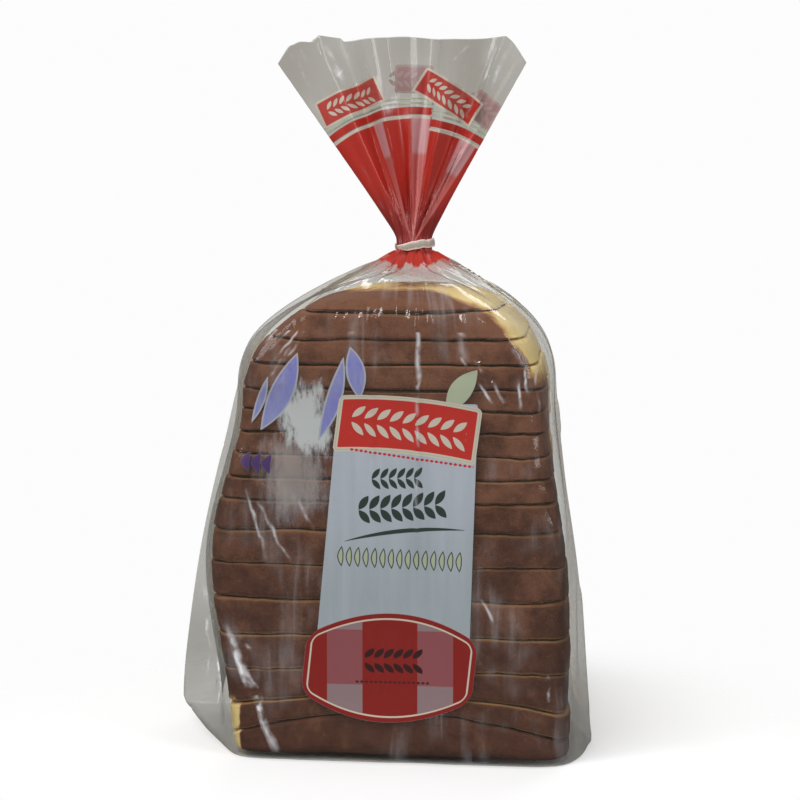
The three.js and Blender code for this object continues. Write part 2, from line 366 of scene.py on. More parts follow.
def shape_slice(piece, number, bottom, top, chance):
    """Gives a copy of the blank its outline, its rims, its sag and the relief of its crust."""
    is_heel, is_foot = number == len(SLICE_THICKNESS) - 1, number == 0
    unit = read_points(piece.data) * MM
    angle = np.arctan2(unit[:, 1], unit[:, 0])
    across = np.hypot(unit[:, 0], unit[:, 1])
    h = unit[:, 2]
    low, high = bottom + CUT_GAP / 2, top - CUT_GAP / 2
    if is_foot:
        low = FOOT_GAP
    rise = np.sin(h * math.pi / 2) if is_heel else h
    z = mix(low, high, rise)
    from_rim = (z - low) if is_heel else np.minimum(z - low, high - z)
    rim = np.where(h < 0.5, cut_rims[number], cut_rims[number + 1])
    near = np.clip(rim - from_rim, 0, rim)
    if is_foot:
        near = np.where(h < 0.5, 0, near)
    inset = rim - np.sqrt(rim**2 - near**2)
    if is_foot:
        below = np.clip(FOOT_ROUND - (z - FOOT_GAP), 0, FOOT_ROUND)
        inset = inset + FOOT_ROUND - np.sqrt(FOOT_ROUND**2 - below**2)
    inside = chance.uniform(0, 1, 3) * SLICE_SHIFT
    left, right = loaf_side(LOAF_LEFT, z) - inside[0], loaf_side(LOAF_RIGHT, z) - inside[1]
    depth = LOAF_HALF_DEPTH * dome(z, DEPTH_DOME) - inside[2]
    t = smooth(z, SHOULDER_Z, TOP_Z)
    front = mix(FRONT_SQUARENESS["slice"], FRONT_SQUARENESS["top"], t)
    back = mix(BACK_SQUARENESS["slice"], BACK_SQUARENESS["top"], t)
    cos, sin = np.cos(angle), np.sin(angle)
    power = 2 / np.where(sin < 0, front, back)
    side = np.where(cos < 0, left, right)
    reach_x = np.maximum(side - inset, 0.5)
    reach_y = np.maximum(depth - inset, 0.5)
    deep = np.sign(sin) * np.abs(sin) ** power
    taper = mix(FRONT_WIDER, -BACK_NARROWER, (deep + 1) / 2)
    taper = taper * (1 - smooth(z, BELLY_Z, SHOULDER_Z))
    x = np.sign(cos) * np.abs(cos) ** power * reach_x * (1 + taper) * across
    y = deep * reach_y * across
    lean = TOP_LEAN * np.clip((z - SHOULDER_Z) / (TOP_Z - SHOULDER_Z), 0, 1) ** 2
    z = z - sag(z, np.minimum(np.abs(x) / side, 1))
    for edge, share in ((number, 1 - h), (number + 1, h)):
        if 0 < edge < len(SLICE_THICKNESS):
            along_cut = np.stack([x, 0.3 * y, np.full(len(x), 40.0 * edge)], 1)
            z = z + share * sum(height * wavy(along_cut, waves) for waves, height in CUT_WAVES)
    points = np.stack([x + lean + fuller(x, y, z), y, z], 1)
    write_points(piece.data, points)
    out = normals_of(piece.data)
    on_side = smooth(across, 0.9, 0.955)
    relief = sum(height * wavy(points + 37 * number, waves) for waves, height in CRUST_BUMPS)
    points += out * ((relief - 0.35) * on_side)[:, None]
    write_points(piece.data, points)
    out = normals_of(piece.data)

    # The bake: dark over the front, and well round the sides but for the lower left corner. It is
    # pale at the right of the shoulder and gold on the heel, and the back is a little brown.
    level = np.maximum(np.hypot(out[:, 0], out[:, 1]), 0.05)
    uneven = wavy(points, 0.06)
    x, y, z = points.T
    foot_corner = smooth(-x, 57.5, 62) * (1 - smooth(z, 20, 28))
    turned = 0.25 * uneven - out[:, 1] / level - 0.82 * foot_corner
    to_left = 45 * smooth(-x, 0, 22)
    wrapped = (1 - smooth(y + 12 * uneven, -25, 28)) * (1 - smooth(z - to_left, 150, 168))
    dark_front = np.maximum(smooth(turned, 0.1, 0.5), wrapped * (1 - foot_corner))
    from_edge = loaf_side(LOAF_RIGHT, z) + lean - x - 5 * uneven
    pale_edge = 1 - smooth(from_edge, 1, 4 + 6 * smooth(z, 160, 178))
    dark_front = dark_front * (1 - pale_edge * smooth(z, 148, 164))
    brown_back = 0.45 * smooth(0.2 * uneven + out[:, 1] / level, 0.1, 0.5)
    on_heel = smooth(out[:, 2], 0.6, 0.95) * smooth(y + 10 * uneven, -52, -12) * is_heel
    on_heel = on_heel * np.maximum(smooth(x, -30, -12), smooth(y, -10, 20))
    mark(piece.data, "bake", (dark_front * (1 - 0.8 * on_heel) + brown_back) * on_side)
    mark(piece.data, "rim", smooth(inset, 0.05, 0.8) * on_side * (not is_foot))
    mark(piece.data, "high", z / TOP_Z)
    mark(piece.data, "tone", np.full(len(z), chance.uniform(-1, 1)))
    for face in piece.data.polygons:
        is_cap = all(across[i] < 0.96 for i in face.vertices)
        face.material_index = int(is_cap)


def mottle(place, scale, detail=3, roughness=0.55):
    """Uneven shading as a value between 0 and 1."""
    inputs = {"Vector": place, "Scale": scale, "Detail": detail, "Roughness": roughness}
    return Number(add(tree_of(place), "ShaderNodeTexNoise", inputs).outputs[0])


def in_millimetres(tree):
    """The place on the piece, in millimetres."""
    place = add(tree, "ShaderNodeTexCoord").outputs["Object"]
    return vector_calc("SCALE", place, {"Scale": 1 / MM})


def number_of(tree, name):
    return Number(add(tree, "ShaderNodeAttribute", attribute_name=name).outputs["Fac"])


def bumped(height, strength, distance):
    """The normal of a relief, whose distance is in millimetres."""
    inputs = {"Strength": strength, "Distance": distance * MM, "Height": height}
    return add(tree_of(height), "ShaderNodeBump", inputs).outputs[0]


def principled(tree, colour, roughness, normal, **more):
    inputs = {"Base Color": colour, "Roughness": roughness, "Normal": normal}
    inputs.update({name.replace("_", " "): value for name, value in more.items()})
    return add(tree, "ShaderNodeBsdfPrincipled", inputs).outputs[0]


CRUST_PALE = (0.86, 0.67, 0.3, 1)
CRUST_GOLD = (0.6, 0.335, 0.13, 1)
CRUST_BROWN = (0.215, 0.09, 0.05, 1)
CRUST_DARK = (0.062, 0.019, 0.009, 1)
CRUMB_COLOUR = (0.84, 0.7, 0.42, 1)
CRUMB_PORE = (0.6, 0.44, 0.2, 1)

crust, tree, output = new_material("baked_crust")
place = in_millimetres(tree)
broad = mottle(place, 0.05)
patches = mottle(place, 0.22, 4)
blotch = mottle(place, 0.13, 5, 0.7)
grain = mottle(place, 1.3, 5, 0.75)
bake = number_of(tree, "bake") + (patches - 0.5) * 0.7
colour = blend(step_between(bake, 0.1, 0.4), CRUST_PALE, CRUST_GOLD)
colour = blend(step_between(bake, 0.35, 0.72), colour, CRUST_BROWN)
# Painted shade: the crust grows darker towards the foot of the loaf, as under light from above. A
# random tone for each slice and random blotches are added on top.
low_down = number_of(tree, "tone") * 0.12 + (1.05 - number_of(tree, "high"))
shade_and_blotches = low_down + (broad - 0.5) * 1.7 + (blotch - 0.5) * 1.6
shade_and_blotches = step_between(shade_and_blotches, -0.05, 0.95) * bake
colour = blend(shade_and_blotches * 0.85, colour, CRUST_DARK)
# The rims of the cuts turn lighter gold, more so lower down. This is partly thinner crust and partly
# a painted highlight where the upper edges catch the light from above.
colour = blend(number_of(tree, "rim") * (low_down * 0.55), colour, CRUST_GOLD)
colour = blend(step_between(grain, 0.56, 0.7) * 0.45, colour, CRUST_DARK)
colour = blend(step_between(grain, 0.44, 0.3) * 0.22, colour, CRUST_GOLD)
normal = bumped(grain * 0.4 + patches, 0.8, 0.7)
roughness = patches * -0.3 + 0.8
surface = principled(tree, colour, roughness, normal, IOR=1.4, Specular_IOR_Level=0.25)
put(output.inputs["Surface"], surface)

crumb, tree, output = new_material("open_crumb")
pores = add(tree, "ShaderNodeTexVoronoi", {"Vector": in_millimetres(tree), "Scale": 0.45})
pores = step_between(pores.outputs["Distance"], 0.1, 0.55)
colour = blend(pores, CRUMB_PORE, CRUMB_COLOUR)
put(output.inputs["Surface"], principled(tree, colour, 0.9, bumped(pores, 0.8, 0.8)))

blank.data.materials.append(crust)
blank.data.materials.append(crumb)
chance = np.random.default_rng(7)
cut_rims = chance.uniform(*RIM_RADIUS, len(SLICE_THICKNESS) + 1)
slice_bottom = 0
for number, thickness in enumerate(SLICE_THICKNESS):
    piece = blank.copy()
    piece.data = blank.data.copy()
    piece.name = f"bread_slice_{number + 1:02d}"
    bpy.context.collection.objects.link(piece)
    shape_slice(piece, number, slice_bottom, slice_bottom + thickness, chance)
    slice_bottom += thickness
    select_only(piece)
    bpy.ops.object.shade_smooth_by_angle(angle=math.radians(50))
    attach(piece, "root")
bpy.data.objects.remove(blank)


# The film. One skin of thin clear film, printed on its outside, drawn over the loaf and up into
# the neck. Its loose sides lie doubled as ears, the neck is pleated, and the mouth above is open.
NECK = Vector((4.1, 0, 206.5))
FILM_LIFT = 0.35
MOUTH_FROM_Z = 270
EAR_CREASE_ANGLE = 40


def copy_of_solid(node, name, flat_within, cuts=0):
    """A copy of a CAD solid as one skin, in quads where it is flat within an angle, and cut finer."""
    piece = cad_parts[node].copy()
    piece.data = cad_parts[node].data.copy()
    piece.name = name
    for key in list(piece.keys()):
        del piece[key]
    piece.parent = None
    bpy.context.collection.objects.link(piece)
    select_only(piece)
    edit("VERT")
    bpy.ops.mesh.select_all(action="SELECT")
    bpy.ops.mesh.remove_doubles(threshold=0.01 * MM)
    bpy.ops.mesh.customdata_custom_splitnormals_clear()
    bpy.ops.mesh.tris_convert_to_quads(
        face_threshold=math.radians(flat_within), shape_threshold=math.radians(179)
    )
    if cuts:
        bpy.ops.mesh.subdivide(number_cuts=cuts)
    finish_edit()
    return piece


bag = copy_of_solid("bread_bag", "film_bag", 179)

# The CAD solid's mouth is closed by a strip, and the film's is open.
select_faces(
    bag.data, lambda face: face.center.z > MOUTH_FROM_Z * MM and abs(face.normal.z) > 0.45
)
edit("FACE")
bpy.ops.mesh.delete(type="FACE")
bpy.ops.mesh.select_mode(type="EDGE")
bpy.ops.mesh.select_all(action="DESELECT")
bpy.ops.mesh.edges_select_sharp(sharpness=math.radians(EAR_CREASE_ANGLE))
bpy.ops.transform.edge_crease(value=0.8)
finish_edit()

# The film bridges the cuts between the slices, so it is smoothed over the bread, in depth only.
for part in (bag.data.edges, bag.data.polygons):
    part.foreach_set("select", [False] * len(part))
for vertex in bag.data.vertices:
    x, y, z = (v / MM for v in vertex.co)
    vertex.select = 4 < z < 150 and abs(x) < 56 and abs(y) > 40
edit("VERT")
bpy.ops.mesh.vertices_smooth(factor=0.5, repeat=6, xaxis=False, yaxis=True, zaxis=False)
finish_edit()
fine = bag.modifiers.new("fine", "SUBSURF")
fine.levels = fine.render_levels = 2
fine.boundary_smooth = "PRESERVE_CORNERS"
bpy.ops.object.modifier_apply(modifier="fine")

points = read_points(bag.data)
points[:, 0] += fuller(*points.T)
write_points(bag.data, points)
out = normals_of(bag.data)
x, y, z = points.T
is_front = np.clip(0.5 - 3 * out[:, 1], 0, 1)
above_neck = smooth(z, NECK.z, NECK.z + 3)
from_axis = np.hypot(x - NECK.x, y)
round_axis = np.arctan2(y, x - NECK.x)
from_neck = np.hypot(from_axis, z - NECK.z)
fan_angle = np.degrees(np.arctan2(x - NECK.x, np.maximum(z - NECK.z, 0.1)))


def ridge(distance, width):
    """A fold with a sharp top."""
    return np.exp(-np.abs(distance) / width)


def crease(start, end, width, height, fade=0.3):
    """A straight fold in the front film between two places given as X and Z."""
    start, end = np.array(start, float), np.array(end, float)
    along = end - start
    flat = np.stack([x, z], 1) - start
    length = np.hypot(*along)
    share = flat @ along / length**2
    aside = (flat[:, 0] * along[1] - flat[:, 1] * along[0]) / length
    taper = smooth(share, 0, fade) * (1 - smooth(share, 1 - fade, 1))
    return height * ridge(aside, width) * taper * is_front * (1 - above_neck)


lift = np.full(len(z), FILM_LIFT)
lift += 0.25 * wavy(points * (1, 1, 0.4), 0.035) + 0.25

# Pleats run out from the neck over the shoulders, each with its own height and length.
PLEAT_COUNT = 46
RUFFLES = 15  # folds in the collar under the tie
NECK_DENT = 5.5  # how far the film falls in front of the collar
pleat_chance = np.random.default_rng(21)
shoulder = np.zeros(len(z))
for k in range(PLEAT_COUNT):
    at = -math.pi + 2 * math.pi * (k + pleat_chance.uniform(-0.35, 0.35)) / PLEAT_COUNT
    reach = pleat_chance.choice([28, 45, 75, 110, 150], p=[0.3, 0.25, 0.2, 0.15, 0.1])
    height = pleat_chance.uniform(0.5, 1.5)
    width = pleat_chance.uniform(0.5, 1.4)
    bend = pleat_chance.uniform(-0.06, 0.06)
    turn = round_axis - at - bend * from_neck / 60
    turn = (turn + math.pi) % (2 * math.pi) - math.pi
    aside = turn * np.maximum(from_axis, 4)
    grow = smooth(from_neck, 2, 22) * (1 - smooth(from_neck, reach * 0.5, reach))
    shoulder += height * ridge(aside, width * mix(0.5, 1.6, smooth(from_neck, 5, 60))) * grow
gather = np.cos(RUFFLES * round_axis + 1.5 * np.sin(2 * round_axis))
gather = gather * (1 - smooth(from_neck, 11, 24))
under_tie = smooth(NECK.z - z, 2.2, 4.5)
lift += (shoulder + 1.1 * gather) * under_tie
in_front = smooth(-np.sin(round_axis), 0.25, 0.8)
dent = in_front * smooth(from_axis, 7, 12.5) * (1 - smooth(from_axis, 13, 62))
dent = dent * smooth(z, 165, 188)

# Single creases that show over the front: the long one from the neck, the slanted ones at the
# left, the crumpled ones at the right shoulder, the fold over the lower left corner, those of
# the ears, and the fine ones on both shoulders. Each has its two ends as X and Z, its width, its
# height, and the share of its length over which it fades at either end.
CREASES = [
    ((12.6, 199), (12.2, 76), 1.1, 1.5, 0.12),
    ((-57, 112), (-49, 82), 0.8, 1.0, 0.3),
    ((-52.2, 106), (-39.3, 81), 0.8, 1.1, 0.3),
    ((-35.1, 108), (-30.3, 94), 0.8, 0.9, 0.3),
    ((30.2, 164.5), (33, 158.5), 0.8, 1.5, 0.3),
    ((35.2, 163.5), (40, 156), 0.8, 1.6, 0.3),
    ((40.4, 157.8), (46.4, 145.3), 0.7, 1.6, 0.3),
    ((37, 155), (42, 145.5), 0.6, 1.3, 0.3),
    ((52.2, 159), (52.6, 142), 0.7, 1.5, 0.3),
    ((54.4, 162), (56.2, 149), 0.7, 1.5, 0.3),
    ((58.6, 160), (60.2, 140), 0.6, 0.9, 0.3),
    ((38, 68), (44, 56), 0.8, 0.9, 0.3),
    ((-66, 55), (-45, 3), 1.6, 2.2, 0.2),
    ((-60, 50), (-54, 42), 0.7, 1.0, 0.3),
    ((-58, 40), (-50, 22), 0.8, 1.1, 0.3),
    ((-86, 59), (-81, 36), 0.9, 1.6, 0.25),
    ((-87, 60), (-84, 20), 0.8, 1.3, 0.3),
    ((-82, 42), (-76, 12), 0.8, 1.6, 0.25),
    ((64.6, 37), (65.5, 25.5), 0.8, 1.3, 0.3),
    ((-50, 168), (-40.5, 181), 0.6, 0.8, 0.3),
    ((-48, 166), (-32.5, 183.5), 0.6, 1.0, 0.3),
    ((-47, 160.5), (-27.5, 185.5), 0.6, 1.0, 0.3),
    ((-44.6, 158), (-30, 178), 0.6, 0.9, 0.3),
    ((-49, 152.5), (-38.5, 169), 0.6, 0.8, 0.3),
    ((-46.2, 149), (-35.5, 166), 0.6, 0.8, 0.3),
    ((-22.2, 174), (-15.2, 191), 1.1, 0.9, 0.3),
    ((-15, 168), (-8.2, 192), 1.6, 0.8, 0.3),
    ((26.5, 188), (33, 160), 1.7, 0.6, 0.3),
    ((34.2, 183), (36.4, 175.5), 0.7, 1.1, 0.3),
    ((42, 180), (54, 161), 1.1, 0.8, 0.3),
]
for fold in CREASES:
    lift += crease(*fold)
points += out * lift[:, None] * (1 - above_neck)[:, None]
points[:, 2] -= NECK_DENT * dent * (1 - above_neck)
points[:, 2] = np.maximum(points[:, 2], 0)  # the foot lies flat on the table

# The fan's pleats run up from the neck, sharp and close below and broad at the mouth. Both
# sheets move together. One pleat lies over the next, right of the middle.
FAN_RADIUS = 88
FOLD_OVER_AT, FOLD_OVER = 7.6, 1.6  # its direction, and how far it stands off
TAB, NICK = 1.6, 1.7  # how high and how deep they are, at the mouth
up = np.clip((z - NECK.z) / FAN_RADIUS, 0, 1)
FAN_PLEATS = [  # the direction from the neck in degrees, height, width, and how far up it runs
    (-27, 1.0, 2.2, 1.0), (-20, -1.4, 3.5, 1.0), (-13.5, 1.5, 1.2, 0.95), (-7, -1.2, 2.2, 1.0),
    (-2.5, 1.1, 1.4, 0.8), (3.2, -1.2, 1.8, 0.9), (11, -1.0, 1.3, 1.0), (15, 1.4, 1.6, 0.8),
    (18.5, 1.5, 1.0, 1.0), (21.5, -1.4, 1.2, 1.0), (24.5, 1.8, 1.0, 1.0), (27, -1.2, 1.0, 1.0),
    (29, 1.2, 1.0, 1.0),
]
sway = np.zeros(len(z))
for at, height, width, top in FAN_PLEATS:
    close = ridge(fan_angle - at - 1.2 * np.sin(5 * up + at), width)
    sway += height * close * smooth(up, 0.02, 0.2) * (1 - 0.6 * smooth(up, top * 0.6, top))
folded = smooth(fan_angle, FOLD_OVER_AT - 0.5, FOLD_OVER_AT + 0.5)
sway += FOLD_OVER * folded * smooth(up, 0.03, 0.15)
sway += 0.5 * wavy(points * (1, 0.2, 1), 0.08) * smooth(up, 0.3, 0.8)
points[:, 1] -= sway * above_neck

# The mouth's edge has a small tab left of the middle and a nick at the left corner.
at_mouth = smooth(up, 0.9, 0.98)
tab = smooth(x, -37, -35.5) * (1 - smooth(x, -28, -26.5))
nick = smooth(x, -49, -46) * (1 - smooth(x, -39, -37))
points[:, 2] += at_mouth * (TAB * tab - NICK * nick)
write_points(bag.data, points)
bpy.ops.object.shade_smooth_by_angle(angle=math.radians(75))

x, y, z = points.T

# How doubled the film looks: in the ears, where it is bunched under the neck, and in the fan.
beyond_bread = np.where(x < 0, -x - loaf_side(LOAF_LEFT, z), x - loaf_side(LOAF_RIGHT, z))
ear = smooth(beyond_bread, -1, 3) * (1 - smooth(z, 120, 190)) * (1 - above_neck)
ear *= np.where(x < 0, 0.6 + 0.4 * np.exp(-((z - 35) / 20) ** 2), 0.8)
bunched = 0.8 * (1 - smooth(from_neck, 14, 75)) * (1 - 0.5 * smooth(-x, 5, 30))
bunched = bunched * (1 - above_neck)
seal = 1 - smooth(z, 4, 6.5)
fan_side = 0.78 + 0.3 * wavy(points * (1, 0, 0.3), 0.05)
mark(bag.data, "front", is_front)
mark(bag.data, "doubled", np.clip(ear + bunched + 0.3 * seal + fan_side * above_neck, 0, 1))

CREASE_HIGHLIGHT_STRENGTH = 0.5  # how strong the painted milky highlight is along a crease
FILM_TINT = (0.8, 0.8, 0.78, 1)
FILM_TINT_DOUBLED = (0.6, 0.592, 0.568, 1)
# The film's milky white, which is also the colour of the painted highlights along creases.
FILM_WHITE = (0.86, 0.87, 0.9, 1)
FILM_ROUGHNESS = 0.1
GLOSS_WHITE = (1, 1, 1, 1)
SHADOW_TINT = (0.93, 0.93, 0.93, 1)


def new_group(name, inputs, outputs):
    """An empty node group: its inputs by name, of which Place is a vector, and its end node."""
    group = bpy.data.node_groups.new(name, "ShaderNodeTree")
    for kind, labels in (("INPUT", inputs), ("OUTPUT", outputs)):
        for label in labels:
            form = "NodeSocketVector" if label == "Place" else "NodeSocketFloat"
            group.interface.new_socket(name=label, in_out=kind, socket_type=form)
    sockets = group.nodes.new("NodeGroupInput").outputs
    given = {label: Number(sockets[label]) for label in inputs}
    return group, given, group.nodes.new("NodeGroupOutput").inputs


def use_group(tree, group, inputs):
    """Places a node group in a material with its own values. Those left out are 0."""
    node = add(tree, "ShaderNodeGroup", node_tree=group)
    for name, value in inputs.items():
        put(node.inputs[name], value)
    return {socket.name: Number(socket) for socket in node.outputs}


def split(place):
    """The three coordinates of a place."""
    return [Number(axis) for axis in add(tree_of(place), "ShaderNodeSeparateXYZ", {0: place}).outputs]


# Fine streaks in stretched film. They run straight down the body, over the shoulders to the
# neck, and up the fan. Height is for a bump, and Glare Streak for the paler lines: partly milky
# film and partly painted glare streaks.
film_streaks, given, result = new_group("film_streaks", ["Place"], ["Height", "Glare Streak"])
place = given["Place"]
across, inward, up = split(place)
aside = across - NECK.x
rise = up - NECK.z
body_turn = inward.calc("ARCTAN2", aside)
fan_turn = aside.calc("ARCTAN2", rise)
is_fan = rise.calc("GREATER_THAN", 0)
turn = is_fan * (fan_turn - body_turn) + body_turn
spread = {0: turn * 9, 1: rise * 0.014, 2: is_fan}
spread = add(film_streaks, "ShaderNodeCombineXYZ", spread).outputs[0]
sharp = (1 - abs(mottle(spread, 0.9, 3, 0.55) - 0.5) * 5).calc("MAXIMUM", 0)
patchy = step_between(mottle(place, 0.035, 2, 0.5), 0.48, 0.66)
crinkle = abs(mottle(place, 0.11, 3, 0.5) - 0.5)
put(result["Height"], sharp * (is_fan * -0.35 + 0.5) - crinkle)
# The paler lines: partly milky film, partly painted glare streaks.
put(result["Glare Streak"], sharp.calc("POWER", 3) * patchy)


def turned_to_field(given):
    """A place along and across a field that is turned about its own start."""
    across, _, up = split(given["Place"])
    dx, dz = across - given["Across"], up - given["Up"]
    cos, sin = given["Turn"].calc("COSINE"), given["Turn"].calc("SINE")
    return dx * cos + dz * sin, dz * cos - dx * sin


# Along a crease the film is given a painted milky highlight, most of all in the middle of the crease.
crease_highlight_line, given, result = new_group(
    "crease_highlight_line", ["Place", "Across", "Up", "Turn", "Long", "Wide"], ["Share"]
)
along, aside = turned_to_field(given)
along = along / given["Long"]
along = (1 - along * along).calc("MAXIMUM", 0)
aside = (1 - abs(aside) / given["Wide"]).calc("MAXIMUM", 0)
put(result["Share"], along * aside)

CREASE_SPREAD = 1.25  # the painted highlight's half width, as a share of the crease's width
WANDER, WANDER_SCALE = 5, 0.07  # how far a crease strays in millimetres, and its waves


def painted_crease_highlights(place, folds):
    """How strong the painted milky highlights are on the front film, along a list of creases."""
    tree = tree_of(place)
    wander = add(tree, "ShaderNodeTexNoise", {"Vector": place, "Scale": WANDER_SCALE, "Detail": 2})
    wander = vector_calc("SCALE", wander.outputs["Color"], {"Scale": WANDER})
    place = vector_calc("ADD", place, {1: wander})
    place = vector_calc("SUBTRACT", place, {1: [WANDER / 2] * 3})
    total = 0.0
    for (x0, z0), (x1, z1), width, height, _ in folds:
        sizes = {
            "Place": place,
            "Across": (x0 + x1) / 2,
            "Up": (z0 + z1) / 2,
            "Turn": math.atan2(z1 - z0, x1 - x0),
            "Long": math.hypot(x1 - x0, z1 - z0) / 2,
            "Wide": width * CREASE_SPREAD,
        }
        total = use_group(tree, crease_highlight_line, sizes)["Share"] * height + total
    # The painted highlights are broken up in patches.
    ragged = step_between(mottle(place, 0.12, 2), 0.36, 0.62)
    return total * ragged * number_of(tree, "front")


def film_surface(output, place, painted_crease_shine, ink=None, doubled_tint=FILM_TINT_DOUBLED):
    """Ends a film material: clear glossy film, a little milky, with painted milky highlights along
    creases and paler streaks, and any ink's colour and cover.
    """
    tree = tree_of(place)
    streaks = use_group(tree, film_streaks, {"Place": place})
    bump = bumped(streaks["Height"], 0.35, 0.5)
    facing = Number(add(tree, "ShaderNodeLayerWeight", {"Normal": bump}).outputs["Facing"])
    tint = blend(number_of(tree, "doubled"), FILM_TINT, doubled_tint)
    clear = add(tree, "ShaderNodeBsdfTransparent", {"Color": tint}).outputs[0]
    gloss = {"Color": GLOSS_WHITE, "Roughness": FILM_ROUGHNESS, "Normal": bump}
    gloss = add(tree, "ShaderNodeBsdfGlossy", gloss).outputs[0]
    milky = add(tree, "ShaderNodeBsdfDiffuse", {"Color": FILM_WHITE, "Normal": bump}).outputs[0]
    film = mix_shaders(facing.calc("POWER", 4) * 0.5 + 0.03, clear, gloss)
    # Milky white over the film: a little haze, painted highlights along creases, and paler streaks
    # that are partly painted glare.
    film = mix_shaders(painted_crease_shine * CREASE_HIGHLIGHT_STRENGTH + (streaks["Glare Streak"] * 0.09 + 0.004), film, milky)
    shade = light_path(tree, "Is Shadow Ray")
    if ink is not None:
        colour, cover = ink
        film = mix_shaders(cover, film, principled(tree, colour, 0.3, bump, IOR=1.5))
        shade = shade * (1 - cover)
    through = add(tree, "ShaderNodeBsdfTransparent", {"Color": SHADOW_TINT}).outputs[0]
    put(output.inputs["Surface"], mix_shaders(shade, film, through))


clear_film, tree, output = new_material("clear_film")
place = in_millimetres(tree)
film_surface(output, place, painted_crease_highlights(place, CREASES))


# The print on the film: plain fields of ink, shaped boxes, lenses and rows of grains. A field is
# given in millimetres across and up the pack, and says how deep inside it a place lies.
printed_box, given, result = new_group(
    "printed_box",
    ["Place", "Across", "Up", "Half Width", "Half Height", "Turn", "Corner", "Bow", "Barrel",
     "Lean", "Taper"],
    ["Depth"],
)
along, aside = turned_to_field(given)
along = along - given["Lean"] * aside
squared = along * along
aside = aside - given["Bow"] * squared
half_width = given["Taper"] * aside + given["Half Width"]
half_height = given["Barrel"] * squared + given["Half Height"]
corner = given["Corner"]
over = [corner + (abs(along) - half_width), corner + (abs(aside) - half_height)]
past = [side.calc("MAXIMUM", 0) for side in over]
past = (past[0] * past[0] + past[1] * past[1]).calc("SQRT")
within = over[0].calc("MAXIMUM", over[1]).calc("MINIMUM", 0)
put(result["Depth"], corner - past - within)

# A row of grains, paired on both sides of a line like an ear of wheat, or single on the line.
grain_row, given, result = new_group(
    "grain_row",
    ["Place", "Across", "Up", "Turn", "Length", "Spacing", "Long", "Wide", "Spread", "Tilt", "Bow"],
    ["Depth"],
)
along, aside = turned_to_field(given)
aside = aside - given["Bow"] * (along * along)
along_cell = ((along / given["Spacing"]).calc("FRACT") - 0.5) * given["Spacing"]
off_line = abs(aside) - given["Spread"]
cos, sin = given["Tilt"].calc("COSINE"), given["Tilt"].calc("SINE")
share = (along_cell * cos + off_line * sin) / given["Long"]
grain_aside = off_line * cos - along_cell * sin
depth = given["Wide"] * (1 - share * share) - abs(grain_aside)
put(result["Depth"], depth.calc("MINIMUM", along.calc("MINIMUM", given["Length"] - along)))

INK_EDGE = 0.12  # how soft the edge of the ink is
INK_WHITE = (0.37, 0.4, 0.45, 1)
# The panel's white ink in painted shade, for its lower part and its fold bands.
INK_WHITE_PAINTED_SHADE = (0.28, 0.32, 0.34, 1)
INK_CREAM = (0.5, 0.44, 0.36, 1)
INK_LEAF = (0.36, 0.4, 0.28, 1)
INK_RED = (0.43, 0.024, 0.017, 1)
# A deep red: the badge's ink, and in the fan painted shade where the pleats close in at the neck.
DEEP_RED_INK_AND_NECK_SHADE = (0.2, 0.008, 0.005, 1)
INK_PINK = (0.22, 0.062, 0.068, 1)
INK_GREY = (0.22, 0.15, 0.155, 1)
INK_DARK = (0.02, 0.035, 0.028, 1)
INK_BLUE = (0.17, 0.18, 0.5, 1)
INK_PURPLE = (0.06, 0.03, 0.13, 1)
# The white patch and the veil below it: print with painted highlight and glare laid into it.
INK_PATCH_AND_HIGHLIGHT = (0.5, 0.53, 0.52, 1)
INK_VEIL_AND_GLARE = (0.45, 0.43, 0.41, 1)
INK_BADGE_DARK = (0.03, 0.004, 0.004, 1)
INK_BADGE_DOTS = (0.06, 0.005, 0.005, 1)


def inked(depth, low=0.0, high=None):
    """1 where a field's depth is between two values, in millimetres."""
    share = step_between(depth, low - INK_EDGE, low + INK_EDGE)
    if high is None:
        return share
    return share - step_between(depth, high - INK_EDGE, high + INK_EDGE)


class InkLayers:
    """The colour and the cover of the ink, as field after field is printed over the last."""

    def __init__(self, place):
        self.place = place
        self.colour, self.cover = INK_WHITE, 0.0

    def field(self, group, **sizes):
        named = {name.replace("_", " ").title(): value for name, value in sizes.items()}
        return use_group(tree_of(self.place), group, {"Place": self.place, **named})["Depth"]

    def print(self, share, colour, cover=0.97):
        self.colour = blend(share, self.colour, colour)
        inputs = {"Factor": share, 2: self.cover, 3: cover}
        mixed = add(tree_of(share), "ShaderNodeMix", inputs, data_type="FLOAT")
        self.cover = Number(mixed.outputs[0])


# The label on the front: a white panel with a red banner across its top and a red checked
# badge at its foot. The lettered places carry ears of wheat and rows of grains instead.
PANEL = dict(across=5.4, up=98, half_width=29.4, half_height=48, corner=1.2, lean=0.0626,
             taper=-0.031)
BANNER = dict(across=8.4, up=137.2, half_width=28.6, half_height=11.4, turn=-0.085, corner=2.2,
              bow=-0.0025, lean=0.05)
BADGE = dict(across=0.8, up=39, half_width=34.6, half_height=22.3, turn=-0.03, corner=5,
             barrel=-0.0088, lean=0.08)
BADGE_COLUMNS = (-24.3, 36.6, 14.4)  # the first pale column's edge, the repeat, and its width
BADGE_ROW = (43.2, 11.2)  # the middle and half height of the pink row
LABEL_PLACE = {"left": -66, "right": 40, "low": 12, "high": 170}  # where the film is label
BLUE_LEAVES = [  # across, up, half length, half width, and turn
    (-42.3, 149.5, 17.5, 4.6, 1.11), (-21.2, 147, 17.5, 3.1, 1.27), (-12.2, 158, 10.5, 3.8, 1.75),
    (-51, 146.5, 10, 1.7, 1.2),
]

label_film, tree, output = new_material("label_film")
place = in_millimetres(tree)
label = InkLayers(place)
across, _, up = split(place)

